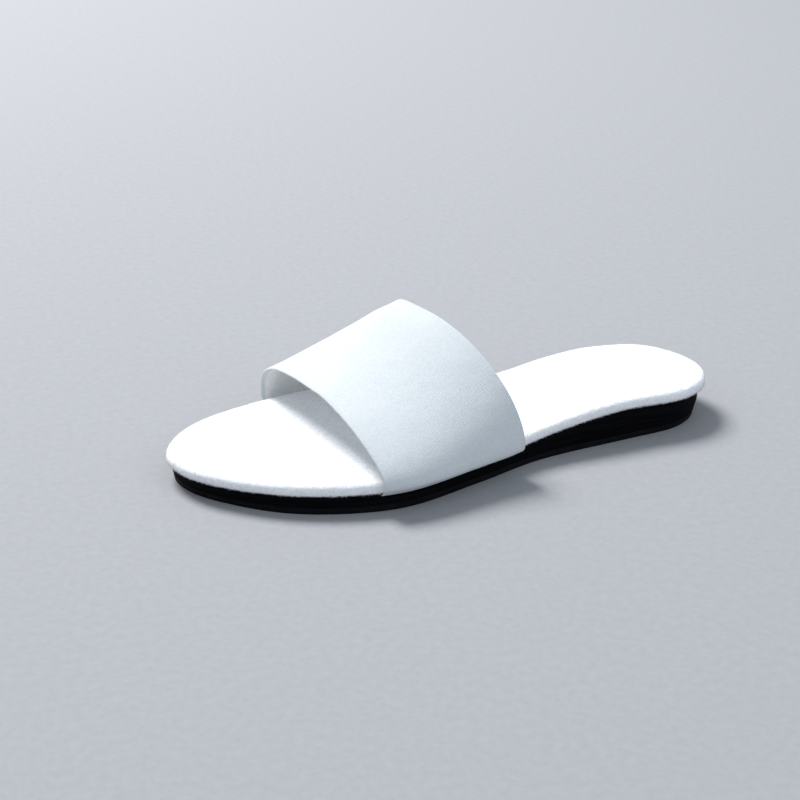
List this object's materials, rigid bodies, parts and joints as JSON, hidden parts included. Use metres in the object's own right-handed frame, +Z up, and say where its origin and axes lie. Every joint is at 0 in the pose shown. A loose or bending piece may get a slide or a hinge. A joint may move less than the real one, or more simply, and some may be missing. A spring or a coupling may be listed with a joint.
{
  "type": "open-toe slide slipper",
  "caption": "Left spa slipper: black foam sole thicker at the heel, white padded footbed and one wide white band over the foot.",
  "frame": {"origin": "on the floor, in the middle of the slipper's length and width", "axes": "+X from the toe to the heel, +Y towards the inner (medial) side of the left foot, +Z up"},
  "size_m": [0.28, 0.121, 0.066],
  "materials": {
    "outsole_rubber": "black textured foam rubber, anti-slip",
    "sole_foam": "matt black EVA foam with fine cut lines on its edge",
    "sponge": "soft open-cell sponge",
    "fibreboard": "pressed fibreboard",
    "footbed_fabric": "white brushed fabric with a short nap",
    "lining_fabric": "smooth white knit",
    "strap_fabric": "white fine-ribbed brushed knit"
  },
  "bodies": {
    "root": {"outsole": "outsole_rubber", "midsole": "sole_foam", "heel_wedge": "sole_foam", "bottom_filler": "sponge", "insole_board": "fibreboard", "footbed_foam": "sponge", "footbed_cover": "footbed_fabric", "strap_lining": "lining_fabric", "strap_foam": "sponge", "strap_face": "strap_fabric"}
  },
  "joints": []
}
